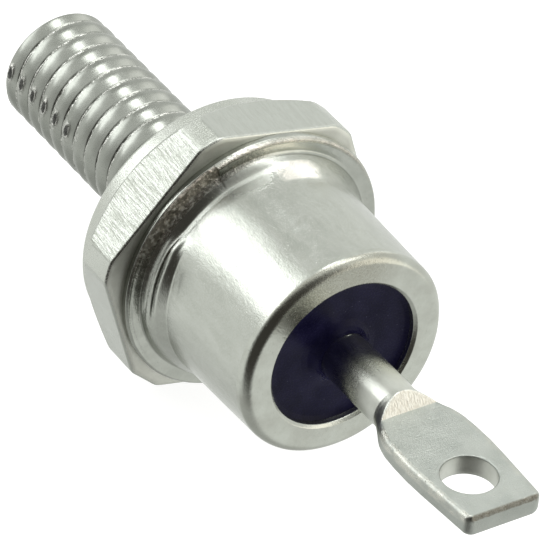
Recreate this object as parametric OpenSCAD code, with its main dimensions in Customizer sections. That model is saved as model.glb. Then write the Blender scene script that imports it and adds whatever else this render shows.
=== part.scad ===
// Stud-mounted rectifier diode lying on one flat of its hexagon.
// A plated base with a threaded stud carries a welded steel cap; a glass bead
// seals a tubular terminal that is flattened into a lug with an eyelet hole.
// Every piece is drawn along its own axis: the stud's seat is at zero, the
// stud runs to the negative side and the terminal to the positive side.

/* [Base and stud] */
// Width of the hexagon across its flats
hex_af = 11; // [10.96:0.02:11.1]
// Radius to which the corners of the hexagon are turned down
hex_corner_r = 6.12; // [6:0.01:6.22]
// Offset of the headed hexagon from the stud axis, towards one corner
hex_offset = 0.18; // [0:0.01:0.25]
// Height from the seat to the cap side of the hexagon
base_t = 2.93; // [2.7:0.01:3.2]
// Outer radius of the washer face behind the hexagon
washer_r = 5.24; // [5:0.02:5.3]
// Thread crest radius of the stud
stud_r = 2.36; // [2.3:0.01:2.42]
// Length of the stud below the seat
stud_len = 10.95; // [10:0.05:11.5]
// Chamfer at the free end of the stud
stud_chamfer = 0.42; // [0.3:0.02:0.6]
// Radius of the pedestal under the silicon
pedestal_r = 3.35; // [3:0.05:3.45]
// Height of the pedestal above the hexagon
pedestal_h = 0.62; // [0.4:0.02:0.8]

/* [Cap] */
// Radius of the weld flange
flange_r = 5.48; // [5.3:0.01:5.48]
// Thickness of the weld flange at its edge
flange_t = 0.33; // [0.25:0.01:0.45]
// Outer radius of the cap wall at the rim
cap_r = 4.32; // [4.2:0.01:4.4]
// Extra radius of the cap wall at its foot
cap_draft = 0.13; // [0:0.01:0.16]
// Height of the rim above the seat
rim_z = 9.6; // [9.3:0.01:9.9]
// Rounding of the outer edge of the rim
rim_round = 0.32; // [0.2:0.01:0.4]
// Inner radius of the cap around the silicon
cavity_r = 3.62; // [3.55:0.01:3.7]
// Radius of the opening that holds the glass
opening_r = 3.06; // [2.95:0.01:3.15]

/* [Seal] */
// Depth of the glass surface below the rim
glass_recess = 0.43; // [0.3:0.01:0.6]
// Thickness of the glass bead
glass_t = 2; // [1.6:0.05:2.2]

/* [Terminal] */
// Outer radius of the terminal tube
tube_r = 0.98; // [0.92:0.01:1.05]
// Bore radius of the terminal tube
tube_bore_r = 0.5; // [0.45:0.01:0.55]
// Height of the tube's lower end above the seat
tube_foot_z = 6.5; // [6.3:0.05:6.8]
// Height at which the tube begins to spread
pinch_z = 13.06; // [12.9:0.02:13.2]
// Height at which the tube is fully flat
flat_z = 13.88; // [13.8:0.02:14]
// Height of the cut end of the lug above the seat
lug_tip_z = 19.86; // [19.4:0.02:20.2]
// Thickness of the flattened lug
lug_t = 0.86; // [0.75:0.01:0.92]
// Widest part of the lug
lug_w = 3.6; // [3.3:0.02:3.8]
// Width of the lug at its cut end
lug_end_w = 3.2; // [2.8:0.02:3.3]
// Rounding of the long edges of the flattened lug
lug_edge = 0.16; // [0.1:0.01:0.3]
// Radius of the eyelet hole
eyelet_r = 1.06; // [0.95:0.01:1.1]
// Height of the eyelet hole above the seat
eyelet_z = 17.8; // [17.5:0.01:18]
// Sideways offset of the eyelet hole from the stud axis
eyelet_off = -0.07; // [-0.15:0.01:0.15]
// Turn of the lug about the stud axis
lug_roll = 12; // [0:1:30]
// Sideways lean of the lug
lug_lean = 0.8; // [0:0.1:3]

/* [Junction stack] */
// Thickness of each solder layer
solder_t = 0.12; // [0.08:0.01:0.15]
// Radius of the lower expansion disc
lower_disc_r = 2.7; // [2.6:0.05:2.9]
// Thickness of the lower expansion disc
lower_disc_t = 0.4; // [0.3:0.02:0.5]
// Radius of the silicon die
die_r = 2.1; // [1.9:0.05:2.2]
// Thickness of the silicon die
die_t = 0.28; // [0.22:0.01:0.35]
// Radius of the upper contact disc
upper_disc_r = 1.6; // [1.5:0.05:1.7]
// Thickness of the upper contact disc
upper_disc_t = 0.3; // [0.25:0.01:0.35]
// Width of the protective coating around the die edge
coating_w = 0.45; // [0.3:0.05:0.5]
// Radius of the head of the inner lead
lead_head_r = 1.15; // [1:0.05:1.3]
// Thickness of the head of the inner lead
lead_head_t = 0.25; // [0.2:0.01:0.3]

/* [Hidden] */
$fn = 96;

// Levels of the junction stack, from the pedestal upwards
z_ped = base_t + pedestal_h;
z_disc = z_ped + solder_t;
z_dsol = z_disc + lower_disc_t;
z_die = z_dsol + solder_t;
z_csol = z_die + die_t;
z_udisc = z_csol + solder_t;
z_lsol = z_udisc + upper_disc_t;
z_head = z_lsol + solder_t;
z_stem = z_head + lead_head_t;

// Heights of the cap and glass
flange_z = base_t + flange_t;
glass_z1 = rim_z - glass_recess;
glass_z0 = glass_z1 - glass_t;
foot_r = cap_r + cap_draft;

// Height at which the flattened side of the tube drops to the lug
shoulder_z = pinch_z + 0.34;

// Middle of the length, so that the piece lies centred over the origin
mid_x = (lug_tip_z - stud_len) / 2;

// Silver plating, terminal plating and the inner materials
plate = [0.77, 0.78, 0.75];
tin = [0.73, 0.74, 0.71];

// Lays the stud axis along X, with a hexagon flat down on the ground
module lay() translate([-mid_x, hex_offset, hex_af / 2]) rotate([90, 0, 90]) children();

// A flat disc from one height to another
module disc(r, z0, z1) translate([0, 0, z0]) cylinder(r = r, h = z1 - z0);

// Turned outline of the base: washer face, chamfered flank and corner radius
module base_turning() rotate_extrude() polygon([
    [0, 0], [washer_r - 0.34, 0], [washer_r - 0.12, 0.07], [washer_r, 0.28],
    [washer_r + 0.12, 0.78], [hex_af / 2, 1.1], [hex_corner_r, 1.48],
    [hex_corner_r, base_t], [0, base_t]]);

// Base, washer face, pedestal and stud, turned and headed as one piece
module stud_base() color(plate) lay() union() {
    translate([-hex_offset, 0, 0]) intersection() {
        cylinder(r = hex_af / 2 / cos(30), h = base_t, $fn = 6);
        base_turning();
    }
    disc(pedestal_r, base_t - 0.5, z_ped);
    rotate_extrude() polygon([
        [0, -stud_len], [stud_r - stud_chamfer, -stud_len],
        [stud_r, -stud_len + stud_chamfer], [stud_r, 0.5], [0, 0.5]]);
}

// Drawn cap: weld flange, curved foot with a shallow neck, drafted wall and
// thick rounded rim
module cap_shell() color(plate) lay() rotate_extrude() polygon(concat(
    [[cavity_r, base_t], [flange_r, base_t], [flange_r, flange_z - 0.06],
     [flange_r - 0.06, flange_z]],
    [for (a = [0:15:75]) [foot_r + 0.43 - 0.36 * sin(a),
                          flange_z + 0.02 + 0.42 * (1 - cos(a))]],
    [[foot_r + 0.05, flange_z + 0.46], [foot_r - 0.04, flange_z + 0.62],
     [foot_r - 0.03, flange_z + 0.82], [foot_r, flange_z + 1]],
    [for (a = [0:15:90]) [cap_r - rim_round + rim_round * cos(a),
                          rim_z - rim_round + rim_round * sin(a)]],
    [[opening_r + 0.12, rim_z], [opening_r + 0.03, rim_z - 0.04],
     [opening_r, rim_z - 0.12], [opening_r, 6.65], [cavity_r, 6.1]]));

// Glass bead with a raised meniscus at the tube and at the wall
module glass_seal() color([0.07, 0.07, 0.2]) lay() rotate_extrude() polygon([
    [tube_r, glass_z0], [opening_r, glass_z0], [opening_r, glass_z1 + 0.1],
    [opening_r - 0.16, glass_z1 + 0.02], [opening_r - 0.4, glass_z1],
    [tube_r + 0.5, glass_z1], [tube_r + 0.22, glass_z1 + 0.07],
    [tube_r + 0.07, glass_z1 + 0.2], [tube_r, glass_z1 + 0.34]]);

// Sideways offset of the lug's centre line at height z
function lean(z) = max(0, z - pinch_z) * tan(lug_lean);

// Thin flattened section of the tube, w wide and t thick, at height z
module flat_section(w, t, z) for (s = [-1, 1])
    translate([lean(z) + s * (w - t) / 2, 0, z - 0.01])
        cylinder(r = t / 2, h = 0.02, $fn = 32);

// Thin section of the flat lug with rounded long edges, at height z
module bar_section(w, t, z) translate([lean(z), 0, z - 0.01]) linear_extrude(0.02)
    offset(r = lug_edge, $fn = 24) square([w - 2 * lug_edge, t - 2 * lug_edge], center = true);

// Closed outside of the tube and its flattened lug
module lug_outside() {
    disc(tube_r, tube_foot_z, pinch_z);
    // the tube spreads sideways before its upper side drops
    hull() {
        translate([0, 0, pinch_z - 0.4]) cylinder(r = tube_r - 0.02, h = 0.02, $fn = 64);
        flat_section(2.28, 2 * tube_r - 0.06, shoulder_z);
    }
    // steep shoulder down to the flat lug
    hull() {
        flat_section(2.2, 2 * tube_r - 0.1, shoulder_z - 0.02);
        flat_section(0.76 * lug_w, lug_t - 0.06, flat_z);
    }
    hull() {
        bar_section(0.45 * lug_w, lug_t, pinch_z + 0.05);
        bar_section(0.8 * lug_w, lug_t, flat_z);
        bar_section(0.965 * lug_w, lug_t, flat_z + 0.95);
        bar_section(lug_w, lug_t, flat_z + 2.5);
        bar_section(lug_end_w, lug_t, lug_tip_z - 0.01);
    }
}

// Tube flattened into a lug, with its bore and eyelet
module terminal_lug() color(tin) lay() rotate([0, 0, lug_roll]) difference() {
    lug_outside();
    disc(tube_bore_r, tube_foot_z - 1, pinch_z - 0.3);
    // the bore runs out into the pinched part
    hull() {
        translate([0, 0, pinch_z - 0.6]) cylinder(r = tube_bore_r - 0.05, h = 0.02, $fn = 48);
        translate([lean(flat_z) - 0.7, -0.03, flat_z - 0.02]) cube([1.4, 0.06, 0.02]);
    }
    translate([eyelet_off, 0, eyelet_z]) rotate([90, 0, 0])
        cylinder(r = eyelet_r, h = 4, center = true);
}

// Headed copper lead, soldered to the contact disc and held in the tube
module inner_lead() color([0.78, 0.46, 0.3]) lay() union() {
    disc(lead_head_r, z_head, z_stem);
    disc(tube_bore_r, z_head + 0.05, pinch_z - 0.35);
}

// Solder between the pedestal and the lower disc
module base_solder() color([0.62, 0.63, 0.66]) lay() disc(lower_disc_r, z_ped, z_disc);

// Disc that takes up the difference in expansion under the silicon
module lower_disc() color([0.55, 0.56, 0.6]) lay() disc(lower_disc_r, z_disc, z_dsol);

// Solder between the lower disc and the silicon
module die_solder() color([0.64, 0.65, 0.68]) lay() disc(die_r, z_dsol, z_die);

// Silicon die with the junction
module silicon_die() color([0.24, 0.25, 0.3]) lay() disc(die_r, z_die, z_csol);

// Solder between the silicon and the contact disc
module contact_solder() color([0.66, 0.67, 0.7]) lay() disc(upper_disc_r, z_csol, z_udisc);

// Contact disc on top of the silicon
module upper_disc() color([0.57, 0.58, 0.62]) lay() disc(upper_disc_r, z_udisc, z_lsol);

// Solder between the contact disc and the lead head
module lead_solder() color([0.68, 0.69, 0.72]) lay() disc(lead_head_r, z_lsol, z_head);

// Ring of protective coating over the edge of the silicon
module edge_coating() color([0.85, 0.8, 0.7]) lay() rotate_extrude() polygon([
    [die_r, z_dsol], [die_r + coating_w, z_dsol], [die_r + 0.8 * coating_w, z_die],
    [die_r + 0.3 * coating_w, z_csol], [die_r, z_csol + 0.03]]);

stud_base();
cap_shell();
glass_seal();
terminal_lug();
inner_lead();
base_solder();
lower_disc();
die_solder();
silicon_die();
contact_solder();
upper_disc();
lead_solder();
edge_coating();
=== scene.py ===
import math

import bpy
import numpy as np
from mathutils import Matrix, Vector


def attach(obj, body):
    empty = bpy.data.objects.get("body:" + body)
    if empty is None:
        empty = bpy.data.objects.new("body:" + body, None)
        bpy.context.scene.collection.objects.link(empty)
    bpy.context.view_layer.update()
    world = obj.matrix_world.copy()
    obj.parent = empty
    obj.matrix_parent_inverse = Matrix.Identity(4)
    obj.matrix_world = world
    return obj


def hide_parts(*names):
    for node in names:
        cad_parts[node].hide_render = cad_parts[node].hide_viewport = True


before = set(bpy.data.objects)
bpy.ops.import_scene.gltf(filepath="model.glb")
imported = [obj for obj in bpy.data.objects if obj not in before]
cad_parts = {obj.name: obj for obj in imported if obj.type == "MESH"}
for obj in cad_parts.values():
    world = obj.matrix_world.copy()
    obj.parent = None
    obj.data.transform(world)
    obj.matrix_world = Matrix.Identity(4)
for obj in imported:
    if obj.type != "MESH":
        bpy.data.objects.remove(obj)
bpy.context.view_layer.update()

# ---------------------------------------------------------------- dimensions
# Millimetres, in the part's own drawing frame: z along the stud axis with the
# seat at zero, the stud on the negative side and the terminal on the positive.
PITCH = 0.825
CREST_R = 2.36
STUD_LEN = 10.95
HEX_AF = 11.0
HEX_OFF = 0.18
CORNER_R = 6.12
BASE_T = 2.93
LUG_TIP = 19.86
MID = (LUG_TIP - STUD_LEN) / 2
AXIS_H = HEX_AF / 2
TAU = 2 * math.pi


def to_world(p):
    """Drawing frame in millimetres to the part's frame in metres."""
    p = np.asarray(p, float)
    return np.stack([p[:, 2] - MID, p[:, 0] + HEX_OFF, p[:, 1] + AXIS_H], axis=1) * 1e-3


# ---------------------------------------------------------------- small tools
def smooth01(x):
    x = np.clip(x, 0, 1)
    return x * x * (3 - 2 * x)


def smin(a, b, k):
    """Smooth minimum with a blend about k wide."""
    h = np.clip(0.5 + 0.5 * (b - a) / k, 0, 1)
    return b * (1 - h) + a * h - k * h * (1 - h)


def waves(seed, count, k_theta, k_z):
    """Smooth seeded waviness over angle and height, about one unit high."""
    rng = np.random.default_rng(seed)
    kt = rng.integers(0, k_theta + 1, count)
    kz = rng.uniform(-k_z, k_z, count)
    ph = rng.uniform(0, TAU, count)
    amp = rng.normal(0, 1, count) / math.sqrt(count)

    def f(theta, z):
        out = 0
        for a, b, c, d in zip(kt, kz, ph, amp):
            out = out + d * np.cos(a * theta + b * z + c)
        return out
    return f


def rounded(points, seg=6, longest=0.5):
    """Outline (r, z, fillet) with its corners rounded and its long runs divided."""
    pts = []
    n = len(points)
    for i, (r, z, f) in enumerate(points):
        p = np.array((r, z), float)
        if f <= 0 or i in (0, n - 1):
            pts.append(p)
            continue
        a = np.array(points[i - 1][:2], float) - p
        b = np.array(points[i + 1][:2], float) - p
        la, lb = np.linalg.norm(a), np.linalg.norm(b)
        a, b = a / la, b / lb
        ang = math.acos(float(np.clip(a @ b, -1, 1)))
        if math.pi - ang < 0.02:
            pts.append(p)
            continue
        d = min(f / math.tan(ang / 2), 0.49 * la, 0.49 * lb)
        rad = d * math.tan(ang / 2)
        bis = (a + b) / np.linalg.norm(a + b)
        c = p + bis * rad / math.sin(ang / 2)
        s, e = p + a * d - c, p + b * d - c
        sweep = math.pi - ang
        for k in range(seg + 1):
            t = k / seg
            pts.append(c + (math.sin((1 - t) * sweep) * s + math.sin(t * sweep) * e) / math.sin(sweep))
    out = [pts[0]]
    for p in pts[1:]:
        q = out[-1]
        m = max(1, math.ceil(np.linalg.norm(p - q) / longest))
        for k in range(1, m + 1):
            out.append(q + (p - q) * k / m)
    return np.array(out)


class Shell:
    """Vertices and faces of one piece, gathered ring by ring."""

    def __init__(self):
        self.v, self.f, self.m, self.count = [], [], [], 0
        self.mask = []

    def ring(self, pts, mask=0.0):
        start = self.count
        pts = np.asarray(pts, float)
        self.v.append(pts)
        self.mask.append(np.broadcast_to(np.asarray(mask, float), (len(pts),)).copy())
        self.count += len(pts)
        return np.arange(start, self.count)

    def bridge(self, a, b, mat=0, flip=False):
        """Quads between two closed rings of equal count."""
        n = len(a)
        for i in range(n):
            j = (i + 1) % n
            q = (int(a[i]), int(a[j]), int(b[j]), int(b[i]))
            self.f.append(q[::-1] if flip else q)
            self.m.append(mat)

    def fan(self, ring, point, mat=0, flip=False, mask=0.0):
        c = int(self.ring([point], mask)[0])
        n = len(ring)
        for i in range(n):
            t = (int(ring[i]), int(ring[(i + 1) % n]), c)
            self.f.append(t[::-1] if flip else t)
            self.m.append(mat)

    def face(self, ids, mat=0):
        self.f.append(tuple(int(i) for i in ids))
        self.m.append(mat)

    def build(self, name, mats, node, sharp_deg=50):
        v = np.concatenate(self.v)
        mesh = bpy.data.meshes.new(name)
        mesh.from_pydata(to_world(v).tolist(), [], self.f)
        mesh.update()
        mesh.polygons.foreach_set("material_index", np.array(self.m, np.int32))
        mesh.polygons.foreach_set("use_smooth", np.ones(len(self.f), bool))
        a = mesh.attributes.new("loc", "FLOAT_VECTOR", "POINT")
        a.data.foreach_set("vector", v.astype(np.float32).ravel())
        # per-point mask: real wear and tool marks on some pieces, painted shade, painted highlights and painted
        # reflections on others
        a = mesh.attributes.new("wear_and_painted_light", "FLOAT", "POINT")
        a.data.foreach_set("value", np.concatenate(self.mask).astype(np.float32))
        mesh.set_sharp_from_angle(angle=math.radians(sharp_deg))
        for m in mats:
            mesh.materials.append(m)
        mesh.validate()
        obj = bpy.data.objects.new(name, mesh)
        bpy.context.scene.collection.objects.link(obj)
        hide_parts(node)
        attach(obj, "root")
        return obj


def circle(n, r, z, cx=0.0, cy=0.0):
    t = np.arange(n) * TAU / n
    return np.stack([cx + r * np.cos(t), cy + r * np.sin(t), np.full(n, z) if np.isscalar(z) else z], axis=1)


# ------------------------------------------------------------------ materials
class Mat:
    """A node material with a few short-hands."""

    def __init__(self, name):
        self.m = bpy.data.materials.new(name)
        self.m.use_nodes = True
        self.t = self.m.node_tree
        self.b = self.t.nodes["Principled BSDF"]

    def add(self, kind, inputs=None, **props):
        n = self.t.nodes.new(kind)
        for k, x in props.items():
            setattr(n, k, x)
        for k, x in (inputs or {}).items():
            self.put(n.inputs[k], x)
        return n

    def put(self, socket, x):
        if isinstance(x, bpy.types.NodeSocket):
            self.t.links.new(x, socket)
        else:
            socket.default_value = x

    def loc(self, scale=(1, 1, 1), turn=0.0, attribute="loc"):
        a = self.add("ShaderNodeAttribute", attribute_name=attribute)
        m = self.add("ShaderNodeMapping", {"Vector": a.outputs["Vector"], "Scale": scale, "Rotation": (0, 0, turn)})
        return m.outputs["Vector"]

    def slant(self, scale):
        """Coordinates for marks that run nearly along the axis on the flats."""
        a = self.add("ShaderNodeAttribute", attribute_name="loc").outputs["Vector"]
        c = self.add("ShaderNodeCombineXYZ")
        for i, d in enumerate(((-0.499, -0.864, -0.07), (-0.035, -0.06, 0.998), (-0.866, 0.5, 0.0))):
            n = self.add("ShaderNodeVectorMath", operation="DOT_PRODUCT")
            self.put(n.inputs[0], a)
            n.inputs[1].default_value = tuple(scale[i] * q for q in d)
            self.put(c.inputs[i], n.outputs["Value"])
        return c.outputs["Vector"]

    def wear_and_painted_light(self):
        return self.add("ShaderNodeAttribute", attribute_name="wear_and_painted_light").outputs["Fac"]

    def noise(self, vec, scale=1.0, detail=3.0, rough=0.55, dist=0.0):
        n = self.add("ShaderNodeTexNoise", {"Vector": vec, "Scale": scale, "Detail": detail, "Roughness": rough, "Distortion": dist})
        return n.outputs["Fac"]

    def spots(self, vec, scale, size):
        """Small round spots: 1 inside, 0 outside."""
        v = self.add("ShaderNodeTexVoronoi", {"Vector": vec, "Scale": scale})
        return self.span(v.outputs["Distance"], size, size * 0.4, 0, 1)

    def span(self, x, a, b, lo, hi, smooth=False):
        n = self.add("ShaderNodeMapRange", {"Value": x, "From Min": a, "From Max": b, "To Min": lo, "To Max": hi})
        n.clamp = True
        if smooth:
            n.interpolation_type = "SMOOTHSTEP"
        return n.outputs["Result"]

    def math(self, op, a, b=0.0, c=0.0):
        n = self.add("ShaderNodeMath", operation=op)
        for i, x in enumerate((a, b, c)):
            if i < len(n.inputs):
                self.put(n.inputs[i], x)
        return n.outputs[0]

    def mix(self, fac, a, b):
        n = self.add("ShaderNodeMix", data_type="RGBA")
        self.put(n.inputs["Factor"], fac)
        ins = [s for s in n.inputs if s.type == "RGBA"]
        self.put(ins[0], a)
        self.put(ins[1], b)
        return [s for s in n.outputs if s.type == "RGBA"][0]

    def bump(self, height, distance, strength=1.0, normal=None):
        n = self.add("ShaderNodeBump", {"Height": height, "Distance": distance, "Strength": strength})
        if normal is not None:
            self.put(n.inputs["Normal"], normal)
        return n.outputs["Normal"]

    def finish(self, color=None, roughness=None, normal=None, **sockets):
        if color is not None:
            self.put(self.b.inputs["Base Color"], color)
        if roughness is not None:
            self.put(self.b.inputs["Roughness"], roughness)
        if normal is not None:
            self.put(self.b.inputs["Normal"], normal)
        for k, x in sockets.items():
            self.put(self.b.inputs[k.replace("_", " ")], x)
        return self.m


SILVER = (0.575, 0.595, 0.542, 1)
SILVER_HI = (0.63, 0.648, 0.6, 1)
SILVER_LO = (0.46, 0.476, 0.428, 1)


def thread_material():
    m = Mat("thread_plating")
    v = m.loc()
    broad = m.noise(v, 1.3, 2)
    grain = m.noise(v, 14, 3, 0.7)
    dash = m.noise(v, 8.0, 3, 0.7)
    some = m.span(m.noise(v, 1.1, 2), 0.4, 0.58, 0.55, 1)
    w = m.wear_and_painted_light()
    crest = m.math("MULTIPLY", m.math("MINIMUM", w, 1.0), some)
    col = m.mix(m.span(broad, 0.35, 0.65, 0, 1), (0.33, 0.342, 0.31, 1), (0.392, 0.404, 0.37, 1))
    # chipped crests: bright dashes are painted glints and dark dashes are painted shade along the chipped edges, and a
    # few hollows carry a painted dark reflection
    col = m.mix(m.math("MULTIPLY", crest, m.span(dash, 0.47, 0.53, 0.0, 1)), col, (0.96, 0.95, 0.9, 1))
    col = m.mix(m.math("MULTIPLY", crest, m.span(dash, 0.44, 0.38, 0.0, 1)), col, (0.07, 0.065, 0.05, 1))
    # near-black where the mask is strongest: a painted dark reflection in a few hollows
    painted_dark_reflection = m.span(m.math("ADD", w, m.math("MULTIPLY", grain, 0.5)), 1.45, 1.85, 0, 0.92)
    col = m.mix(painted_dark_reflection, col, (0.03, 0.03, 0.028, 1))
    rough = m.span(grain, 0.3, 0.7, 0.2, 0.3)
    n1 = m.bump(grain, 0.00002, 0.1)
    n2 = m.bump(m.math("MULTIPLY", crest, dash), 0.0001, 0.8, n1)
    return m.finish(col, rough, n2, Metallic=1.0)


def turned_material():
    m = Mat("turned_plating")
    v = m.loc()
    broad = m.noise(v, 0.9, 3)
    grain = m.noise(v, 18, 3, 0.65)
    specks = m.spots(v, 5.0, 0.12)
    col = m.mix(m.span(broad, 0.35, 0.65, 0, 1), SILVER, SILVER_HI)
    rough = m.span(grain, 0.3, 0.7, 0.22, 0.34)
    n1 = m.bump(m.noise(v, 3.0, 2), 0.00003, 0.3)
    n2 = m.bump(m.math("ADD", grain, m.math("MULTIPLY", specks, 0.8)), 0.00002, 0.7, n1)
    return m.finish(col, rough, n2, Metallic=1.0)


def flats_material():
    m = Mat("hexagon_flats")
    v = m.loc()
    # shear marks run along the flats
    streak_v = m.slant((9.0, 0.8, 4.0))
    fine_v = m.slant((24.0, 2.2, 8.0))
    broad = m.noise(v, 0.8, 3)
    streak = m.noise(streak_v, 1.0, 4, 0.6, 0.5)
    fine = m.noise(fine_v, 1.0, 3, 0.6, 0.3)
    both = m.math("ADD", m.math("MULTIPLY", streak, 0.55), m.math("MULTIPLY", fine, 0.45))
    w = m.wear_and_painted_light()
    marks = m.math("MULTIPLY", w, m.span(both, 0.56, 0.4, 0, 1))
    col = m.mix(marks, (0.58, 0.6, 0.555, 1), (0.38, 0.395, 0.35, 1))
    rough = m.span(broad, 0.3, 0.7, 0.16, 0.24)
    n1 = m.bump(m.math("MULTIPLY", w, both), 0.00007, 0.55)
    n2 = m.bump(m.noise(v, 16, 3), 0.000012, 0.7, n1)
    return m.finish(col, rough, n2, Metallic=1.0)


def face_material():
    m = Mat("hexagon_face")
    v = m.loc()
    broad = m.noise(v, 1.3, 3)
    grain = m.noise(v, 14, 3, 0.7)
    col = m.mix(m.span(broad, 0.35, 0.65, 0, 1), (0.66, 0.668, 0.61, 1), (0.76, 0.77, 0.71, 1))
    rough = m.span(grain, 0.3, 0.7, 0.44, 0.54)
    return m.finish(col, rough, m.bump(grain, 0.00002, 0.15), Metallic=1.0)


def flange_material():
    m = Mat("flange_plating")
    v = m.loc()
    broad = m.noise(v, 1.6, 3)
    blotch = m.noise(v, 3.4, 4, 0.65)
    grain = m.noise(v, 16, 3, 0.65)
    pits = m.spots(v, 3.2, 0.1)
    w = m.wear_and_painted_light()
    col = m.mix(m.span(broad, 0.35, 0.65, 0, 1), (0.415, 0.43, 0.39, 1), (0.485, 0.5, 0.457, 1))
    # heat tint of the weld on one side
    tint = m.mix(m.span(blotch, 0.42, 0.6, 0, 1), (0.7, 0.65, 0.56, 1), (0.98, 0.88, 0.77, 1))
    soot = m.noise(v, 2.3, 5, 0.7)
    tint = m.mix(m.span(soot, 0.5, 0.6, 0, 0.75), tint, (0.3, 0.27, 0.22, 1))
    scuff = m.noise(m.loc((1.0, 1.0, 3.0)), 5.5, 3, 0.6)
    tint = m.mix(m.span(scuff, 0.57, 0.64, 0, 0.9), tint, (1.0, 0.97, 0.9, 1))
    col = m.mix(m.math("MULTIPLY", w, 0.85), col, tint)
    rough = m.math("ADD", m.span(broad, 0.3, 0.7, 0.13, 0.2), m.math("MINIMUM", m.math("MULTIPLY", w, m.span(scuff, 0.5, 0.62, 0.2, 1.0)), 0.45))
    n1 = m.bump(m.math("MULTIPLY", blotch, m.math("ADD", m.math("MULTIPLY", w, 3.0), 0.4)), 0.00008, 0.35)
    n2 = m.bump(m.math("SUBTRACT", grain, m.math("MULTIPLY", pits, 1.2)), 0.00001, 0.5, n1)
    return m.finish(col, rough, n2, Metallic=1.0)


def can_material():
    m = Mat("can_plating")
    v = m.loc()
    broad = m.noise(v, 0.7, 3)
    cloud = m.noise(m.loc((1.6, 1.6, 0.7)), 1.0, 4, 0.6)
    patch = m.noise(v, 3.0, 3, 0.6)
    grain = m.noise(v, 16, 4, 0.7)
    specks = m.spots(v, 3.4, 0.1)
    col = m.mix(m.span(cloud, 0.35, 0.65, 0, 1), (0.5, 0.518, 0.47, 1), (0.565, 0.582, 0.535, 1))
    col = m.mix(m.span(grain, 0.45, 0.65, 0, 0.35), col, (0.68, 0.695, 0.65, 1))
    rough = m.math("ADD", m.span(broad, 0.3, 0.7, 0.12, 0.18), m.math("MULTIPLY", grain, 0.08))
    w = m.wear_and_painted_light()
    rough = m.math("ADD", rough, m.math("MULTIPLY", m.math("MAXIMUM", w, 0.0), 0.25))
    # a cream patch where the mask is negative: a painted highlight on the foot
    painted_highlight = m.math("MULTIPLY", m.math("MULTIPLY", w, -1.0), m.span(patch, 0.35, 0.6, 0.5, 1))
    col = m.mix(m.span(painted_highlight, 0.25, 0.9, 0, 0.9), col, (0.97, 0.94, 0.87, 1))
    n1 = m.bump(cloud, 0.00004, 0.3)
    n2 = m.bump(patch, 0.000024, 0.33, n1)
    n3 = m.bump(m.math("ADD", grain, m.math("MULTIPLY", specks, 0.7)), 0.00001, 0.7, n2)
    return m.finish(col, rough, n3, Metallic=1.0)


def rim_material():
    m = Mat("rim_plating")
    v = m.loc()
    broad = m.noise(v, 1.1, 3)
    grain = m.noise(v, 12, 4, 0.7)
    specks = m.spots(v, 4.0, 0.11)
    w = m.wear_and_painted_light()
    col = m.mix(m.span(broad, 0.35, 0.65, 0, 1), (0.5, 0.512, 0.462, 1), SILVER)
    # where the mask is set the rim turns darker and rougher: painted shade on its upper side
    col = m.mix(m.math("MULTIPLY", w, m.span(grain, 0.3, 0.6, 0.5, 1)), col, (0.36, 0.35, 0.29, 1))
    rough = m.math("ADD", m.span(grain, 0.3, 0.7, 0.12, 0.22), m.math("MULTIPLY", w, 0.14))
    n1 = m.bump(m.noise(v, 4.0, 2), 0.00002, 0.3)
    n2 = m.bump(m.math("ADD", grain, m.math("MULTIPLY", specks, 0.7)), 0.000012, 0.6, n1)
    return m.finish(col, rough, n2, Metallic=1.0)


def tube_material():
    m = Mat("terminal_tube_plating")
    v = m.loc()
    broad = m.noise(v, 0.9, 3)
    grain = m.noise(v, 12, 3, 0.65)
    along = m.noise(m.loc((10, 10, 1.0)), 1.0, 3)
    col = m.mix(m.span(broad, 0.35, 0.65, 0, 1), (0.58, 0.595, 0.54, 1), (0.7, 0.715, 0.66, 1))
    z = m.add("ShaderNodeSeparateXYZ", {"Vector": v}).outputs["Z"]
    rough = m.math("ADD", m.span(grain, 0.3, 0.7, 0.1, 0.18), m.span(z, 10.0, 12.2, 0, 0.18))
    n1 = m.bump(along, 0.00002, 0.2)
    n2 = m.bump(grain, 0.00001, 0.25, n1)
    return m.finish(col, rough, n2, Metallic=1.0)


def lug_material():
    m = Mat("terminal_plating")
    v = m.loc()
    broad = m.noise(v, 0.9, 3)
    grain = m.noise(v, 15, 4, 0.75)
    across = m.noise(m.loc((1.6, 6, 12)), 1.0, 3)
    specks = m.spots(v, 3.6, 0.12)
    w = m.wear_and_painted_light()
    col = m.mix(m.span(broad, 0.35, 0.65, 0, 1), (0.43, 0.453, 0.42, 1), (0.5, 0.523, 0.487, 1))
    col = m.mix(m.span(grain, 0.56, 0.68, 0, 0.5), col, (0.62, 0.64, 0.6, 1))
    # sheared edge of the cut end
    col = m.mix(m.math("MULTIPLY", m.math("MAXIMUM", w, 0.0), m.span(grain, 0.3, 0.62, 1, 0.45)), col, (0.15, 0.125, 0.09, 1))
    # rolled long edges: brighter in places, a painted highlight
    edge = m.math("MULTIPLY", m.math("MAXIMUM", m.math("MULTIPLY", w, -1.0), 0.0), m.span(m.noise(v, 2.2, 3, 0.6), 0.38, 0.6, 0.15, 1))
    col = m.mix(m.math("MULTIPLY", edge, 0.7), col, (0.68, 0.67, 0.6, 1))
    rough = m.math("SUBTRACT", m.span(grain, 0.3, 0.7, 0.3, 0.42), m.math("MULTIPLY", edge, 0.1))
    n1 = m.bump(across, 0.00002, 0.35)
    n2 = m.bump(m.math("ADD", grain, m.math("MULTIPLY", specks, 0.7)), 0.000018, 0.8, n1)
    return m.finish(col, rough, n2, Metallic=1.0)


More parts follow.
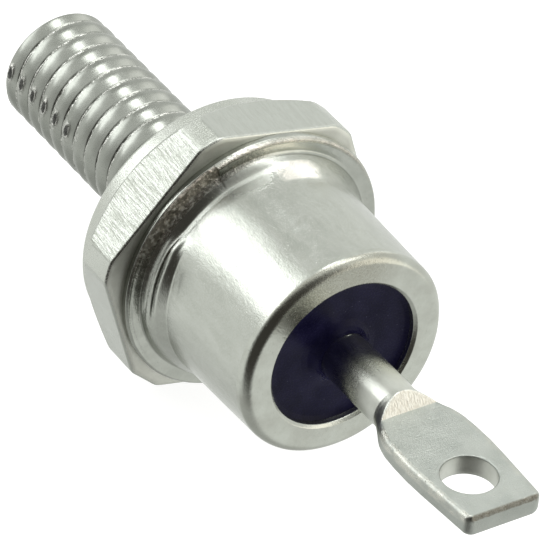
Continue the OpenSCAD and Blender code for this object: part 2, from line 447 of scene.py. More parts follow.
def pressed_material():
    m = Mat("terminal_pressed_face_and_highlight")
    v = m.loc()
    grain = m.noise(m.loc((16, 6, 6)), 1.0, 3, 0.6)
    fine = m.noise(v, 16, 2)
    # pressed grain in a pale cream far lighter than the rest of the terminal: real pressed texture, partly a painted
    # highlight
    col = m.mix(m.span(grain, 0.4, 0.6, 0, 1), (0.74, 0.71, 0.62, 1), (0.93, 0.91, 0.83, 1))
    rough = m.span(fine, 0.3, 0.7, 0.3, 0.42)
    n1 = m.bump(grain, 0.00003, 0.6)
    return m.finish(col, rough, n1, Metallic=1.0)


def glass_material():
    m = Mat("seal_glass")
    v = m.loc()
    broad = m.noise(v, 1.0, 3)
    grain = m.noise(v, 11, 3, 0.6)
    specks = m.spots(v, 2.6, 0.07)
    col = m.mix(m.span(broad, 0.35, 0.65, 0, 1), (0.005, 0.0045, 0.02, 1), (0.012, 0.011, 0.036, 1))
    col = m.mix(m.math("MULTIPLY", specks, 0.3), col, (0.2, 0.2, 0.27, 1))
    rough = m.span(grain, 0.3, 0.7, 0.2, 0.32)
    n1 = m.bump(grain, 0.00001, 0.4)
    return m.finish(col, rough, n1, Metallic=0.0, IOR=1.17)


def plain_inner(name, dark, light, metallic, lo, hi, scale=6.0):
    """Finish for the sealed pieces: mottled colour, uneven gloss, fine grain."""
    m = Mat(name)
    c = m.add("ShaderNodeTexCoord")
    mp = m.add("ShaderNodeMapping", {"Vector": c.outputs["Object"], "Scale": (1000, 1000, 1000)})
    v = mp.outputs["Vector"]
    broad = m.noise(v, scale * 0.25, 3)
    grain = m.noise(v, scale * 2, 3)
    col = m.mix(m.span(broad, 0.3, 0.7, 0, 1), dark, light)
    rough = m.span(grain, 0.3, 0.7, lo, hi)
    return m.finish(col, rough, m.bump(grain, 0.00001, 0.5), Metallic=metallic)


# ------------------------------------------------------------ base with stud
def thread_table():
    """Depth below the crest over one pitch, measured from the seam between two turns."""
    n = 1000
    u = np.arange(n) / n
    slope = np.interp(u * PITCH, (0, 0.03, 0.08, 0.13, 0.3, 0.4, 0.47, 0.6, 0.765, 0.785, 0.81, 0.818, PITCH),
                      (1.2, 1.2, 0.3, 0.12, 0, -0.15, -0.22, -0.27, -0.3, -1.0, -1.0, 0, 0))
    up, down = slope.clip(0).sum(), -slope.clip(None, 0).sum()
    slope = np.where(slope > 0, slope * down / up, slope)
    r = np.cumsum(slope) * PITCH / n
    k = np.exp(-0.5 * (np.minimum(u, 1 - u) * PITCH / 0.012) ** 2)
    k /= k.sum()
    r = np.real(np.fft.ifft(np.fft.fft(r) * np.fft.fft(k)))
    return u, r.max() - r


def build_base():
    mats = [thread_material(), turned_material(), flats_material(), face_material()]
    sh = Shell()
    n1, n2 = 128, 384
    u_t, h_t = thread_table()
    theta = np.arange(n1) * TAU / n1
    rng = np.random.default_rng(11)

    # crest chips: rough heights along the thread, one value per column and turn
    turns = 18
    chips = rng.normal(0, 1, turns * n1)
    chips = 1.6 * np.convolve(chips, np.hanning(9) / np.hanning(9).sum(), mode="same") + 0.35 * chips
    phase0 = 0.557

    def thread_radius(z):
        t = (z - PITCH * theta / TAU) / PITCH + phase0
        u = t - np.floor(t)
        turn = np.floor(t + 0.5).astype(int)
        h = np.interp(u, u_t, h_t, period=1.0)
        d = u * PITCH
        side = np.where(u < 0.5, u, u - 1) * PITCH
        idx = (turn * n1 + np.arange(n1)) % (turns * n1)
        # the folded edge of each turn is chipped
        seam = np.exp(-((side - 0.08) / 0.075) ** 2)
        r = CREST_R - h * (1 - 0.75 * smooth01((z + 0.55) / 0.5))
        r = r + seam * 0.022 * chips[idx]
        # patch in the hollows near 180 degrees, only far from the hexagon: a painted dark reflection carried on the
        # mask
        painted_dark_reflection = np.exp(-((d - 0.34) / 0.13) ** 2 - ((np.degrees(theta) - 180) / 6.5) ** 2) * smooth01((-5.4 - z) / 0.6)
        return np.minimum(r, CREST_R), np.maximum(seam, 2 * np.minimum(1.6 * painted_dark_reflection, 1))

    end_z = -STUD_LEN
    # free end: flat face with a soft edge
    end_face = [(0.0, end_z + 0.02), (0.5, end_z + 0.015), (1.0, end_z + 0.004), (1.4, end_z), (1.84, end_z),
                (1.93, end_z + 0.006), (1.98, end_z + 0.022), (2.01, end_z + 0.04)]
    rings = []
    for r, z in end_face[1:]:
        rings.append((sh.ring(circle(n1, r, z), 0.0), 1))
    rows = np.linspace(end_z + 0.06, -0.06, 440)
    for z in rows:
        rt, crest = thread_radius(z)
        cone = 2.03 + (z - (end_z + 0.06)) * 1.15
        r = smin(rt, np.full(n1, cone), 0.05)
        rings.append((sh.ring(circle(n1, r, z), crest), 0))
    rings.append((sh.ring(circle(n1, CREST_R + 0.02, -0.02), 0.0), 1))
    rings.append((sh.ring(circle(n1, CREST_R + 0.08, 0.0), 0.0), 1))
    for (a, _), (b, m) in zip(rings, rings[1:]):
        sh.bridge(a, b, m, flip=False)
    sh.fan(rings[0][0], (0, 0, end_z + 0.02), 1, flip=True)
    last = rings[-1][0]

    # seat: three base columns for each stud column
    k = n2 // n1
    phi = np.arange(n2) * TAU / n2
    hexr = HEX_AF / 2 / np.cos(np.mod(phi, TAU / 6) - TAU / 12)
    seat_in = sh.ring(np.stack([(CREST_R + 0.3) * np.cos(phi) - 0.02, (CREST_R + 0.3) * np.sin(phi), np.zeros(n2)], 1))
    for i in range(n1):
        a, b = last[i], last[(i + 1) % n1]
        o = [seat_in[(k * i + j) % n2] for j in range(k + 1)]
        sh.face((a, o[1], o[0]), 1)
        sh.face((a, b, o[2], o[1]), 1)
        sh.face((b, o[3], o[2]), 1)

    turn = np.array([(4.92, 0.0), (5.08, 0.02), (5.17, 0.07), (5.24, 0.14), (5.28, 0.22), (5.3, 0.5), (5.315, 0.8),
                     (5.5, 0.88), (CORNER_R, 1.44), (CORNER_R + 0.02, 1.7), (CORNER_R + 0.02, 2.93)])
    dents = waves(5, 24, 9, 2.0)
    zs = np.concatenate([np.linspace(0.0, 0.3, 10), np.linspace(0.34, 2.0, 46), np.linspace(2.06, 2.84, 12),
                         [2.87, 2.895, 2.915, 2.93]])
    deg = np.degrees(phi)
    # the corners aren't cut evenly, and one flat carries the heaviest marks
    early = 0.22 * np.exp(-((deg - 60) / 22) ** 2)
    corner = CORNER_R - 0.22 * np.exp(-((deg - 240) / 14) ** 2)
    marked = 0.2 + 0.8 * smooth01((deg - 117) / 4) * (1 - smooth01((deg - 179) / 4))
    prev = seat_in
    ring_pts = None
    for z in zs:
        rt = np.interp(z + early * smooth01(z / 0.9), turn[:, 1], turn[:, 0]) if z > 0 else np.full(n2, 4.92)
        r = smin(hexr, rt, 0.07)
        r = smin(r, corner, 0.1)
        if z > 2.84:
            r = r - 0.07 * ((z - 2.84) / 0.09) ** 2
        on_flat = smooth01((rt - hexr) / 0.12 + 0.5)
        r = r + 0.008 * dents(phi, z * 2) * smooth01(z / 0.5)
        r = np.minimum(r, hexr - 0.001)
        pts = np.stack([r * np.cos(phi) - HEX_OFF, r * np.sin(phi), np.full(n2, z)], 1)
        now = sh.ring(pts, on_flat * marked)
        n0 = len(sh.f)
        sh.bridge(prev, now, 1, flip=False)
        # faces that lie on a flat take the brushed finish
        for i in range(n2):
            if on_flat[i] > 0.5 and on_flat[(i + 1) % n2] > 0.5:
                sh.m[n0 + i] = 2
        prev, ring_pts = now, pts
    # cap side of the hexagon, pedestal and its top
    for s, z in ((0.97, 2.93), (0.9, 2.93), (0.8, 2.93)):
        c = np.array([-HEX_OFF, 0, 0])
        pts = (ring_pts - c) * np.array([s, s, 0]) + c + np.array([0, 0, z])
        now = sh.ring(pts)
        sh.bridge(prev, now, 3)
        prev = now
    for r, z in ((3.42, 2.93), (3.35, 2.99), (3.35, 3.48), (3.3, 3.55), (1.6, 3.55)):
        now = sh.ring(np.stack([r * np.cos(phi), r * np.sin(phi), np.full(n2, z)], 1))
        sh.bridge(prev, now, 1)
        prev = now
    sh.fan(prev, (0, 0, 3.55), 1)
    return sh.build("base_and_stud", mats, "stud_base", 40)


# ------------------------------------------------------------------------ can
def build_can():
    mats = [flange_material(), can_material(), rim_material()]
    sh = Shell()
    # two more columns where the flange steps, so that the step is sharp
    phi = np.sort(np.append(np.arange(320) * TAU / 320, np.radians([123.9, 124.1])))
    n = len(phi)
    flange = rounded([(3.62, 2.93, 0), (5.44, 2.93, 0.02), (5.47, 3.0, 0.04), (5.475, 3.18, 0.05), (5.4, 3.262, 0.06),
                      (4.9, 3.27, 0.1), (4.82, 3.36, 0)], 7, 0.05)
    # bell-shaped foot that runs into the wall
    foot = np.linspace(3.4, 4.9, 40)
    foot = np.stack([4.435 - 0.02623 * (foot - 4.75) + 0.15 * (4.9 - foot) ** 2, foot], 1)
    flange = np.concatenate([flange, foot])
    wall = rounded([(4.431, 4.9, 0), (4.334, 8.6, 0)], 2, 0.16)[1:]
    rim = rounded([(4.334, 8.6, 0), (4.318, 9.6, 0.39), (3.4, 9.6, 0), (3.18, 9.598, 0.1), (3.06, 9.5, 0.08),
                   (3.06, 9.0, 0)], 12, 0.16)[1:]
    inside = rounded([(3.06, 9.0, 0), (3.06, 6.65, 0.1), (3.62, 6.1, 0.1), (3.62, 2.93, 0)], 4, 1.0)[1:-1]
    soft = waves(21, 30, 8, 1.7)
    edge = waves(22, 40, 40, 0.0)
    dented = waves(23, 60, 34, 9.0)
    profile = [(p, 1 if p[1] > 3.45 else 0) for p in flange] + [(p, 1) for p in wall] + [(p, 2 if p[1] > 9.17 or p[0] < 4.2 else 1) for p in rim] + [(p, 2) for p in inside]
    deg = np.degrees(phi)
    # one side of the flange rises to its edge and ends in a step, the other is tinted and uneven
    raised = smooth01((deg - 30) / 30) * (deg < 124)
    tinted = (deg > 124) * (1 - smooth01((deg - 148) / 32))
    mild = 0.7 * (deg > 124) * (1 - smooth01((deg - 160) / 26))
    rolled = smooth01((deg - 132) / 20) * (1 - smooth01((deg - 215) / 25))
    hollow_end = 1 - smooth01((deg - 150) / 14)
    necked = smooth01((deg - 150) / 14) * (1 - smooth01((deg - 262) / 34))
    deep = np.array([(3.3, 4.86), (3.4, 4.76), (3.6, 4.56), (3.7, 4.48), (3.85, 4.455), (4.4, 4.445), (4.9, 4.431)])
    neck = np.array([(3.3, 4.86), (3.4, 4.77), (3.5, 4.715), (3.58, 4.7), (3.65, 4.66), (3.74, 4.645), (3.82, 4.665), (4.0, 4.66), (4.05, 4.645),
                     (4.45, 4.45), (4.5, 4.443), (4.9, 4.431)])
    cone = np.array([(3.3, 4.88), (3.4, 4.86), (3.6, 4.815), (3.8, 4.75), (4.0, 4.675), (4.05, 4.65), (4.45, 4.45), (4.5, 4.443), (4.9, 4.431)])
    coned = smooth01((deg - 188) / 20)
    short = 1 + 0.9 * (1 - smooth01((deg - 156) / 30))
    shaded = smooth01((deg - 60) / 30) * (1 - smooth01((deg - 140) / 25))
    rings = []
    for i, (p, m) in enumerate(profile):
        r0, z0 = p
        r = np.full(n, r0)
        z = np.full(n, z0)
        mask = np.zeros(n)
        dx = 0.0
        if 4.25 < z0 < 9.5 and r0 > 4:
            r = r + 0.009 * soft(phi, z0) * smooth01((z0 - 4.25) / 0.4)
        if z0 < 4.95 and r0 > 4.4:
            k = smooth01((r0 - 4.6) / 0.5)
            dx = 0.05 * k
            if r0 > 5.3:
                r = r + 0.006 * edge(phi, 0) - 0.006
            if z0 > 3.2:
                lift = min(1.0, max(0.0, (r0 - 4.68) / 0.72))
                ridge = math.exp(-((r0 - 5.36) / 0.05) ** 2)
                z = z + k * ((0.03 + 0.11 * lift) * raised + tinted * (0.02 * ridge - 0.02 * lift + 0.011 * dented(phi, r0))
                             + 0.003 * dented(phi, r0) - 0.016 * rolled * math.exp(-((r0 - 5.3) / 0.05) ** 2))
                if z0 > 3.3 and r0 < 4.86:
                    up = z0 + max(0.0, z0 - 4.05) * (short - 1)
                    ledge = np.interp(up, neck[:, 0], neck[:, 1]) * (1 - coned) + np.interp(up, cone[:, 0], cone[:, 1]) * coned
                    late = smooth01((z0 - 3.9) / 0.2)
                    r = r + necked * (1 - late * (1 - smooth01((deg - 156) / 16))) * (ledge - r0)
                    low = 1 - smooth01((z0 - 3.42) / 0.5)
                    hollow = smooth01((deg - 84 - 18 * low) / (36 - 14 * low)) * hollow_end
                    r = r + hollow * (np.interp(z0, deep[:, 0], deep[:, 1]) - r0)
                elif r0 < 5.3:
                    r = r - 0.1 * necked * (1 - coned) * (5.3 - r0)
                if m == 1:
                    mask = np.exp(-((deg - 112) / 12) ** 2) * (1 - smooth01((z0 - 3.8) / 0.9))
                    # a negative patch near 88 degrees low on the wall: it paints a highlight in the can finish
                    mask = mask - 1.4 * np.exp(-((deg - 88) / 13) ** 4) * smooth01((z0 - 3.55) / 0.2) * (1 - smooth01((z0 - 4.35) / 0.3))
                else:
                    mask = np.maximum(tinted, mild) * k + raised * (0.55 * smooth01((r0 - 5.3) / 0.06) + 0.25 * np.exp(-((deg - 114) / 14) ** 2) * (1 - smooth01((r0 - 5.25) / 0.06)))
        # the upper side of the rim is darkened through the mask: painted shade
        if m == 2 and r0 > 3.1 and z0 > 9.3:
            mask = 0.7 * shaded
        rings.append((sh.ring(np.stack([r * np.cos(phi) + dx, r * np.sin(phi), z], 1), mask), m))
    for (a, _), (b, m) in zip(rings, rings[1:]):
        sh.bridge(a, b, m)
    sh.bridge(rings[-1][0], rings[0][0], 2)
    return sh.build("can", mats, "cap_shell", 50)


# ---------------------------------------------------------------------- glass
def build_glass():
    sh = Shell()
    n = 192
    phi = np.arange(n) * TAU / n
    outline = rounded([(0.985, 9.58, 0), (1.03, 9.46, 0.1), (1.14, 9.31, 0.2), (1.34, 9.2, 0.2), (1.6, 9.17, 0.3), (2.66, 9.17, 0.3),
                       (2.9, 9.19, 0.2), (3.06, 9.27, 0)], 6, 0.12)
    ripple = waves(31, 40, 9, 3.0)
    rings = []
    for r, z in outline:
        k = smooth01((r - 1.0) / 0.3) * smooth01((3.05 - r) / 0.3)
        rings.append(sh.ring(np.stack([r * np.cos(phi), r * np.sin(phi), z + 0.012 * k * ripple(phi, r)], 1)))
    rings.append(sh.ring(circle(n, 3.06, 7.17)))
    rings.append(sh.ring(circle(n, 0.98, 7.17)))
    for a, b in zip(rings, rings[1:]):
        sh.bridge(a, b, 0, flip=True)
    sh.bridge(rings[-1], rings[0], 0, flip=True)
    return sh.build("glass_bead", [glass_material()], "glass_seal", 50)


# ------------------------------------------------------------------- terminal
def build_lug():
    sh = Shell()
    roll = math.radians(12)
    cr, sr = math.cos(roll), math.sin(roll)
    t_flat, edge_r = 0.86, 0.22
    hole_r, hole_z, hole_x = 1.06, 17.8, -0.07

    def lean(z):
        return max(0.0, z - 13.06) * math.tan(math.radians(0.8))

    def place(x, y, z):
        x, y, z = (np.asarray(q, float) for q in np.broadcast_arrays(x, y, z))
        return np.stack([cr * x - sr * y, sr * x + cr * y, z], 1)

    n_top, n_arc = 28, 20
    # section columns: upper side, right edge, lower side, left edge
    keys = np.array([
        # z      width  pressed height  share of the flat form
        (6.5, 1.96, 1.2, 0.0), (12.9, 1.96, 1.2, 0.0), (13.06, 1.97, 1.17, 0.0), (13.25, 2.1, 0.98, 0.0),
        (13.5, 2.35, 0.73, 0.0), (13.8, 2.68, 0.43, 0.0), (13.84, 2.72, 0.43, 0.05), (14.05, 2.93, 0.43, 0.6),
        (14.25, 3.1, 0.43, 1.0), (14.5, 3.27, 0.43, 1.0), (14.83, 3.43, 0.43, 1.0), (15.5, 3.55, 0.43, 1.0),
        (16.38, 3.6, 0.43, 1.0), (17.2, 3.54, 0.43, 1.0), (19.84, 3.2, 0.43, 1.0)])

    def section(z, grow=0.0):
        w = np.interp(z, keys[:, 0], keys[:, 1]) / 2 + grow
        # rounded corners of the cut end
        over = min(max(z - (LUG_TIP - 0.26), 0.0), 0.26)
        w = w - (0.26 - math.sqrt(0.26 ** 2 - over ** 2))
        cut = np.interp(z, keys[:, 0], keys[:, 2]) + grow
        f = np.interp(z, keys[:, 0], keys[:, 3])
        s = np.linspace(-1, 1, n_top + 1)
        # flat form: a bar with rounded long edges
        e = max(edge_r + grow, 0.03)
        h = t_flat / 2 + grow
        up = np.stack([s * (w - e), np.full(n_top + 1, h)], 1)
        k = (n_arc - 4) // 2
        a1 = np.radians(np.linspace(90, 0, k + 1)[1:])
        arc = np.stack([w - e + e * np.cos(a1), h - e + e * np.sin(a1)], 1)
        wall = np.stack([np.full(3, w), np.linspace(h - e, e - h, 5)[1:-1]], 1)
        right = np.concatenate([arc, wall, arc[::-1] * np.array([1, -1])])
        bar = np.concatenate([up, right, -up, -right])
        # round form with the same columns, pressed flat above and below
        q = 62.0
        flare = 1 + 0.035 * math.exp(-((z - 9.63) / 0.05) ** 2)
        ca = np.concatenate([90 - s * q, np.linspace(90 - q, q - 90, len(right) + 2)[1:-1]])
        ca = np.radians(np.concatenate([ca, ca - 180]))
        flare = 1 + (flare - 1) * np.exp(-((np.degrees(ca) - 84) / 16) ** 2)
        rnd = np.stack([w * flare * np.cos(ca), 0.98 * flare * np.sin(ca)], 1)
        rnd[:, 1] = np.clip(rnd[:, 1], -cut, cut)
        return (1 - f) * rnd + f * bar, cut

    side = len(section(15.0)[0]) // 2 - (n_top + 1)
    z_rows = np.concatenate([np.linspace(6.5, 8.8, 5), np.linspace(9.0, 9.9, 31), np.linspace(10.05, 12.9, 16),
                             np.linspace(13.0, 13.22, 8), np.linspace(13.25, 13.8, 23), np.linspace(13.82, 14.3, 18), np.linspace(14.4, 16.4, 18)])
    block_lo, block_hi, n_blk = 16.5, 19.1, 28
    z_blk = np.linspace(block_lo, block_hi, n_blk + 1)
    z_end = np.array([19.2, 19.4, 19.56, 19.61, 19.66, 19.7, 19.735])
    zs = np.concatenate([z_rows, z_blk, z_end])
    j0 = len(z_rows)
    j1 = j0 + n_blk
    rings, cuts = [], []
    ncol = 2 * (n_top + 1) + 2 * side
    for z in zs:
        p, cut = section(z)
        # the rolled edges get a negative mask, which paints a highlight along them
        col = np.arange(ncol)
        rolled = -smooth01((z - 13.9) / 0.5) * ((col >= ncol - 9) + 0.5 * ((col >= n_top) & (col < n_top + 6)))
        rings.append(sh.ring(place(p[:, 0] + lean(z), p[:, 1], z), rolled))
        cuts.append(np.abs(p[:, 1]) > cut - 1e-6)
    lower0 = n_top + 1 + side
    for j in range(len(rings) - 1):
        a, b = rings[j], rings[j + 1]
        for i in range(ncol):
            i2 = (i + 1) % ncol
            if j0 <= j < j1 and (i < n_top or lower0 <= i < lower0 + n_top):
                continue
            pressed = 13.24 < zs[j] < 13.79 and (cuts[j + 1][i] and cuts[j + 1][i2])
            sh.face((a[i2], a[i], b[i], b[i2]), 2 if pressed else (0 if zs[j] > 13.78 else 1))

    # eyelet: rings that run from the open block to the hole, above and below
    rad = t_flat / 2

    def loop(top):
        base = 0 if top else lower0
        cols = list(range(n_top + 1))
        ids = [rings[j0][base + c] for c in cols]
        ids += [rings[j][base + n_top] for j in range(j0 + 1, j1 + 1)]
        ids += [rings[j1][base + c] for c in cols[::-1][1:]]
        ids += [rings[j][base] for j in range(j1 - 1, j0, -1)]
        return np.array(ids)

    allv = np.concatenate(sh.v)

    def local_xz(ids):
        p = allv[ids]
        return cr * p[:, 0] + sr * p[:, 1], p[:, 2]

    def hole_rings(top):
        ids = loop(top)
        x, z = local_xz(ids)
        ang = np.arctan2(z - hole_z, x - hole_x)
        out = [ids]
        y = rad if top else -rad
        sgn = 1 if top else -1
        edge = hole_r + 0.05
        for k in (0.35, 0.6, 0.8, 0.92, 1.0):
            px = x + (hole_x + edge * np.cos(ang) - x) * k
            pz = z + (hole_z + edge * np.sin(ang) - z) * k
            out.append(sh.ring(place(px, np.full(len(px), y), pz)))
        for dr, dy in ((0.03, 0.006), (0.013, 0.02), (0.003, 0.04), (0.0, 0.06)):
            out.append(sh.ring(place(hole_x + (hole_r + dr) * np.cos(ang), np.full(len(ang), y - sgn * dy),
                                     hole_z + (hole_r + dr) * np.sin(ang))))
        return out, ang

    up, ang_u = hole_rings(True)
    dn, ang_d = hole_rings(False)
    for a, b in zip(up, up[1:]):
        sh.bridge(a, b, 0, flip=True)
    for a, b in zip(dn, dn[1:]):
        sh.bridge(a, b, 0, flip=True)
    # wall of the hole
    k = len(ang_u)
    start = int(np.argmin(np.abs(np.angle(np.exp(1j * (ang_d - ang_u[0]))))))
    order = [(start - i) % k for i in range(k)]
    prev = up[-1]
    tot = 2 * (rad - 0.06)
    for t, dr in ((0.2, 0.0), (0.4, 0.0), (0.6, 0.0), (0.8, 0.0)):
        a_mix = ang_u + t * np.angle(np.exp(1j * (ang_d[order] - ang_u)))
        y = rad - 0.06 - t * tot
        now = sh.ring(place(hole_x + (hole_r + dr) * np.cos(a_mix), np.full(k, y), hole_z + (hole_r + dr) * np.sin(a_mix)))
        sh.bridge(prev, now, 1, flip=True)
        prev = now
    sh.bridge(prev, dn[-1][order], 1, flip=True)

    # cut end: sheared upper edge, then the plain face
    z_tip = LUG_TIP
    torn = waves(41, 30, 14, 0.0)
    prev = rings[-1]
    for shrink, z, top, dark in ((0.0, z_tip - 0.09, 0.43, 0.3), (0.004, z_tip - 0.05, 0.385, 1.0), (0.015, z_tip - 0.02, 0.3, 1.0),
                                 (0.04, z_tip - 0.004, 0.23, 0.9), (0.06, z_tip, 0.2, 0.0), (0.12, z_tip, 0.16, 0.0), (0.25, z_tip, 0.08, 0.0),
                                 (0.36, z_tip, 0.03, 0.0)):
        q = section(z, -shrink)[0]
        x, y = q[:, 0], q[:, 1]
        jag = 0.015 * torn(x * 2.2, 0.0) if dark > 0.5 else 0.0
        y = np.minimum(y, top + jag)
        mask = dark * smooth01((y - (top - 0.1)) / 0.06)
        now = sh.ring(place(x + lean(z_tip), y, z), mask)
        for i in range(ncol):
            i2 = (i + 1) % ncol
            sh.face((prev[i2], prev[i], now[i], now[i2]), 0)
        prev = now
    sh.fan(prev, tuple(place([lean(z_tip)], [0.0], [z_tip])[0]), 0, flip=True)

    # lower end of the tube with its bore, closed above the lead
    first = rings[0]
    bore = 0.5
    p0 = section(6.5)[0]
    ang = np.arctan2(p0[:, 1], p0[:, 0])
    prev = first
    for r, z in ((0.96, 6.48), (0.52, 6.48), (bore, 6.52), (bore, 9.0), (bore, 12.6), (0.3, 12.75)):
        now = sh.ring(place(r * np.cos(ang), r * np.sin(ang), z))
        for i in range(ncol):
            i2 = (i + 1) % ncol
            sh.face((prev[i], prev[i2], now[i2], now[i]), 1)
        prev = now
    sh.fan(prev, (0, 0, 12.78), 1)
    return sh.build("terminal", [lug_material(), tube_material(), pressed_material()], "terminal_lug", 35)


base = build_base()
can = build_can()
glass = build_glass()
lug = build_lug()

# sealed pieces keep their shape and take their own finishes
inner = {
    "inner_lead": plain_inner("copper", (0.5, 0.22, 0.12, 1), (0.72, 0.36, 0.22, 1), 1.0, 0.25, 0.42),
    "lower_disc": plain_inner("expansion_metal", (0.3, 0.31, 0.34, 1), (0.42, 0.43, 0.46, 1), 1.0, 0.25, 0.4),
    "silicon_die": plain_inner("silicon", (0.05, 0.055, 0.075, 1), (0.1, 0.105, 0.13, 1), 0.6, 0.08, 0.16),
    "edge_coating": plain_inner("coating", (0.55, 0.5, 0.4, 1), (0.68, 0.63, 0.52, 1), 0.0, 0.4, 0.6),
    "base_solder": plain_inner("solder", (0.36, 0.37, 0.39, 1), (0.5, 0.51, 0.53, 1), 1.0, 0.35, 0.55),
}
inner["upper_disc"] = inner["lower_disc"]
for name in ("die_solder", "contact_solder", "lead_solder"):
    inner[name] = inner["base_solder"]
for name, mat in inner.items():
    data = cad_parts[name].data
    data.materials.clear()
    data.materials.append(mat)

# ---------------------------------------------------------------------- stage
floor_mesh = bpy.data.meshes.new("floor")
half = 3.0
floor_mesh.from_pydata([(-half, -half, 0), (half, -half, 0), (half, half, 0), (-half, half, 0)], [], [(0, 1, 2, 3)])
floor = bpy.data.objects.new("floor", floor_mesh)
bpy.context.scene.collection.objects.link(floor)
fm = bpy.data.materials.new("floor")
fm.use_nodes = True
fb = fm.node_tree.nodes["Principled BSDF"]
fb.inputs["Base Color"].default_value = (0.3, 0.3, 0.297, 1)
fb.inputs["Roughness"].default_value = 0.9
fb.inputs["Specular IOR Level"].default_value = 0.1
fb.inputs["Emission Color"].default_value = (1, 1, 0.99, 1)
fb.inputs["Emission Strength"].default_value = 0.93
floor_mesh.materials.append(fm)
floor.visible_glossy = False

# light: a pale surround with soft windows of light and one dark side
world = bpy.data.worlds.new("studio")
bpy.context.scene.world = world
world.use_nodes = True
wt = world.node_tree
wt.nodes.clear()


def wnode(kind, **props):
    n = wt.nodes.new(kind)
    for k, x in props.items():
        setattr(n, k, x)
    return n


direction = wnode("ShaderNodeTexCoord").outputs["Generated"]


def lobe(az, el, inner_deg, outer_deg):
    d = (math.cos(math.radians(el)) * math.cos(math.radians(az)), math.cos(math.radians(el)) * math.sin(math.radians(az)), math.sin(math.radians(el)))
    dot = wnode("ShaderNodeVectorMath", operation="DOT_PRODUCT")
    wt.links.new(direction, dot.inputs[0])
    dot.inputs[1].default_value = d
    mr = wnode("ShaderNodeMapRange", interpolation_type="SMOOTHSTEP")
    wt.links.new(dot.outputs["Value"], mr.inputs["Value"])
    mr.inputs["From Min"].default_value = math.cos(math.radians(outer_deg))
    mr.inputs["From Max"].default_value = math.cos(math.radians(inner_deg))
    return mr.outputs["Result"]


def colour_mix(fac, a, b):
    n = wnode("ShaderNodeMix", data_type="RGBA")
    wt.links.new(fac, n.inputs["Factor"])
    ins = [s for s in n.inputs if s.type == "RGBA"]
    for s, x in zip(ins, (a, b)):
        if isinstance(x, bpy.types.NodeSocket):
            wt.links.new(x, s)
        else:
            s.default_value = (*x, 1)
    return [s for s in n.outputs if s.type == "RGBA"][0]


def wmath(op, a, b=0.0):
    n = wnode("ShaderNodeMath", operation=op)
    for i, x in enumerate((a, b)):
        if isinstance(x, bpy.types.NodeSocket):
            wt.links.new(x, n.inputs[i])
        else:
            n.inputs[i].default_value = x
    return n.outputs[0]


def along(vec):
    dot = wnode("ShaderNodeVectorMath", operation="DOT_PRODUCT")
    wt.links.new(direction, dot.inputs[0])
    dot.inputs[1].default_value = vec
    return dot.outputs["Value"]


def ramp(x, a, b):
    mr = wnode("ShaderNodeMapRange", interpolation_type="SMOOTHSTEP")
    wt.links.new(x, mr.inputs["Value"])
    mr.inputs["From Min"].default_value = a
    mr.inputs["From Max"].default_value = b
    return mr.outputs["Result"]


height = wmath("MULTIPLY", wmath("ARCSINE", along((0, 0, 1))), 180 / math.pi)


def window(az, half_width, low, high, soft_side, soft_low, soft_high):
    """A rectangle of light on the surround, in degrees, with soft edges."""
    c, q = math.cos(math.radians(az)), math.sin(math.radians(az))
    side = wmath("ARCTAN2", along((-q, c, 0)), along((c, q, 0)))
    side = wmath("MULTIPLY", wmath("ABSOLUTE", side), 180 / math.pi)
    f = ramp(side, half_width + soft_side, half_width - soft_side)
    f = wmath("MULTIPLY", f, ramp(height, low - soft_low, low + soft_low))
    return wmath("MULTIPLY", f, ramp(height, high + soft_high, high - soft_high))


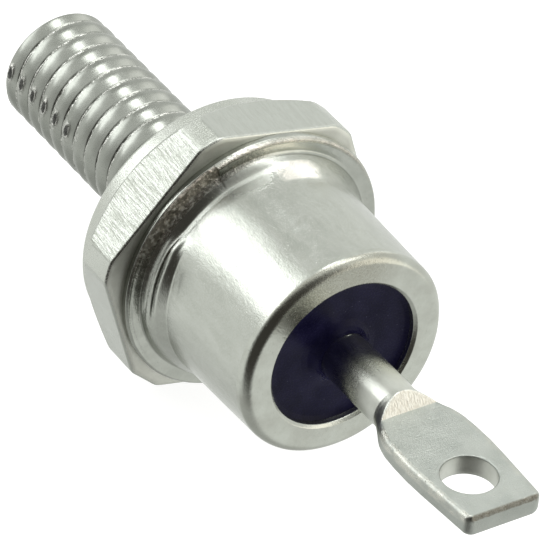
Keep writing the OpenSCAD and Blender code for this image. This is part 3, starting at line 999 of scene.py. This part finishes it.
# a pale surround with a dark side towards the camera and four soft windows
sky = colour_mix(lobe(-38, -3, 42, 76), (0.9, 0.915, 0.89), (0.06, 0.056, 0.05))
sky = colour_mix(lobe(0, -90, 8, 55), sky, (0.5, 0.51, 0.49))
sky = colour_mix(lobe(178, 50, 6, 22), sky, (0.72, 0.735, 0.71))
sky = colour_mix(window(-135, 22, 12, 42, 8, 2, 7), sky, (2.7, 2.75, 2.75))
sky = colour_mix(window(42, 13, -9, 48, 5, 4, 6), sky, (1.8, 1.74, 1.6))
sky = colour_mix(window(117, 7, 24, 58, 4, 5, 6), sky, (1.7, 1.7, 1.66))
sky = colour_mix(lobe(178, 73, 5, 10), sky, (6.0, 6.1, 6.1))
bg = wnode("ShaderNodeBackground")
wt.links.new(sky, bg.inputs["Color"])
bg.inputs["Strength"].default_value = 1.0
plain = wnode("ShaderNodeBackground")
plain.inputs["Color"].default_value = (0.97, 0.97, 0.96, 1)
seen = wnode("ShaderNodeLightPath").outputs["Is Camera Ray"]
both = wnode("ShaderNodeMixShader")
wt.links.new(seen, both.inputs[0])
wt.links.new(bg.outputs["Background"], both.inputs[1])
wt.links.new(plain.outputs["Background"], both.inputs[2])
out = wnode("ShaderNodeOutputWorld")
wt.links.new(both.outputs[0], out.inputs["Surface"])

key = bpy.data.lights.new("overhead", "AREA")
key.shape = "DISK"
key.size = 0.25
key.energy = 0.35
key_obj = bpy.data.objects.new("overhead", key)
bpy.context.scene.collection.objects.link(key_obj)
key_obj.location = (0.05, 0.1, 0.5)
key_obj.rotation_euler = (-(key_obj.location)).to_track_quat("-Z", "Y").to_euler()

# --------------------------------------------------------------------- camera
cam = bpy.data.cameras.new("camera")
cam.sensor_fit = "HORIZONTAL"
cam.sensor_width = 36.0
cam.lens = 6503.543 / 550 * 36.0
cam.clip_start = 0.01
cam.clip_end = 10.0
cam_obj = bpy.data.objects.new("camera", cam)
bpy.context.scene.collection.objects.link(cam_obj)
right = Vector((0.53633388, 0.80596552, 0.25053052)).normalized()
back = Vector((0.64551553, -0.58294547, 0.49344125)).normalized()
up = back.cross(right).normalized()
right = up.cross(back).normalized()
rot = Matrix((right, up, back)).transposed().to_4x4()
cam_obj.matrix_world = Matrix.Translation(Vector((0.15488580, -0.13945261, 0.12405134))) @ rot
bpy.context.scene.camera = cam_obj
bpy.context.scene.view_settings.view_transform = "Standard"

bpy.context.view_layer.update()
